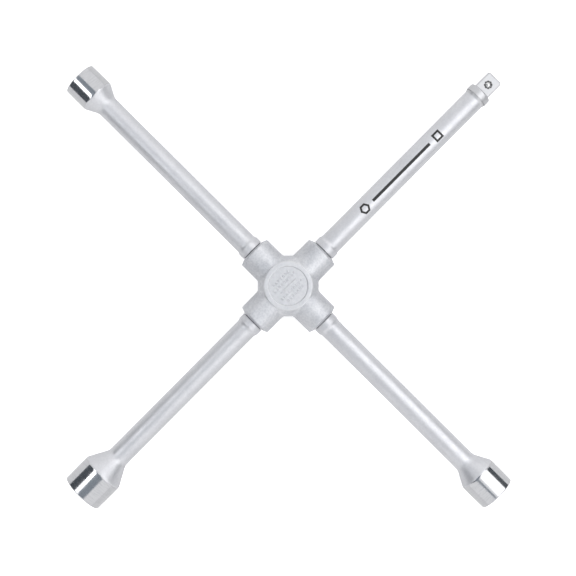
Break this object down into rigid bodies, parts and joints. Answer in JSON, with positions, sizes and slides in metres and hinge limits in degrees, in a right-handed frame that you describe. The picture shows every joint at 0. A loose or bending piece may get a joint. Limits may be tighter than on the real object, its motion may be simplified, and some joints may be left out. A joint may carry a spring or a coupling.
{
  "type": "lug wrench",
  "caption": "Cross-shaped wheel nut wrench: round steel arms pressed into a forged hub, hexagon sockets at their ends and a square drive with a sprung ball detent.",
  "frame": {"origin": "centre of the hub, where the arms' axes cross, in the middle of the wrench's thickness", "axes": "+X along the square-drive arm, +Y along the 17 mm socket arm, +Z out of the face that carries the detent ball"},
  "size_m": [0.4242, 0.4272, 0.0318],
  "materials": {
    "satin_chrome_hub": "satin chrome plate over a drop-forged skin",
    "satin_chrome_arm": "satin chrome plate, mirror-polished around each socket",
    "polished_ball_steel": "polished bearing ball",
    "spring_steel": "drawn spring wire"
  },
  "bodies": {
    "wrench": {"hub": "satin_chrome_hub", "drive_arm": "satin_chrome_arm", "socket_arm_17mm": "satin_chrome_arm", "socket_arm_19mm": "satin_chrome_arm", "socket_arm_22mm": "satin_chrome_arm", "detent_spring": "spring_steel"},
    "ball": {"detent_ball": "polished_ball_steel"}
  },
  "joints": [
    {"name": "detent_ball_press", "type": "slide", "parent": "wrench", "child": "ball", "axis": [0, 0, -1], "range_m": [0, 0.0008], "stiffness_N_per_m": 4000, "springref_m": -0.0012, "deforming": ["detent_spring"]}
  ]
}
